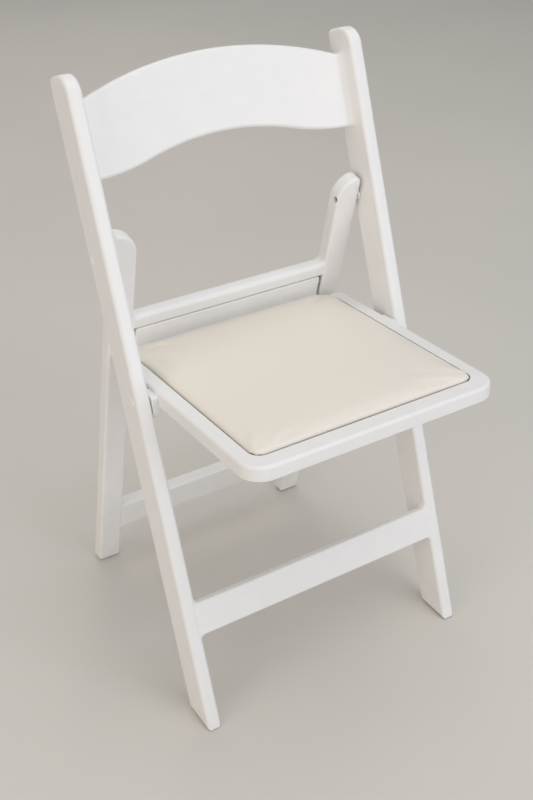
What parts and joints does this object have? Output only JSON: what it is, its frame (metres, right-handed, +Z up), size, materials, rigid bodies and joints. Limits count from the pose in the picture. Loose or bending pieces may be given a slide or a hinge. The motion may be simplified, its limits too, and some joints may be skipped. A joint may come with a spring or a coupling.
{
  "type": "folding chair",
  "caption": "Folding chair with flat leaning side rails, an arched back panel, crossing rear frame and a padded flip-up seat.",
  "frame": {"origin": "on the floor under the middle of the open chair", "axes": "+X across the chair to the right of someone looking at its front, +Y to the back, +Z up; the seat's front edge faces -Y"},
  "size_m": [0.4326, 0.4781, 0.8148],
  "materials": {
    "white_resin": "satin moulded polypropylene",
    "white_nylon": "satin",
    "painted_pin": "white enamel on a domed rivet head",
    "tan_nylon": "matte",
    "cream_vinyl": "satin vinyl over foam",
    "board": "bare fibreboard",
    "zinc_steel": "zinc plated"
  },
  "bodies": {
    "front_frame": {"left_rail": "white_resin", "right_rail": "white_resin", "backrest": "white_resin", "front_stretcher": "white_resin", "left_leg_pin": "painted_pin", "right_leg_pin": "painted_pin", "left_seat_pin": "painted_pin", "right_seat_pin": "painted_pin", "left_front_glide": "tan_nylon", "right_front_glide": "tan_nylon"},
    "rear_frame": {"left_rear_leg": "white_resin", "right_rear_leg": "white_resin", "rear_cross_rail": "white_resin", "rear_stretcher": "white_resin", "left_spacer": "white_nylon", "right_spacer": "white_nylon", "left_rear_glide": "tan_nylon", "right_rear_glide": "tan_nylon"},
    "seat": {"seat_pan": "white_resin", "seat_lip": "white_resin", "cushion": "cream_vinyl", "cushion_board": "board", "cushion_screws": "zinc_steel", "left_hinge_block": "white_nylon", "right_hinge_block": "white_nylon", "slide_rod": "zinc_steel", "left_rod_bush": "white_nylon", "right_rod_bush": "white_nylon"}
  },
  "joints": [
    {"name": "seat_fold", "type": "hinge", "parent": "front_frame", "child": "seat", "pos_m": [0, 0.00145, 0.437], "axis": [-1, 0, 0], "range_deg": [0, 104]},
    {"name": "rear_frame_swing", "type": "hinge", "parent": "front_frame", "child": "rear_frame", "pos_m": [0, 0.09245, 0.597], "axis": [-1, 0, 0], "range_deg": [0, 31.2]}
  ],
  "couplings": [
    {"joint": "rear_frame_swing", "follows": "seat_fold", "ratio": 0.3}
  ]
}
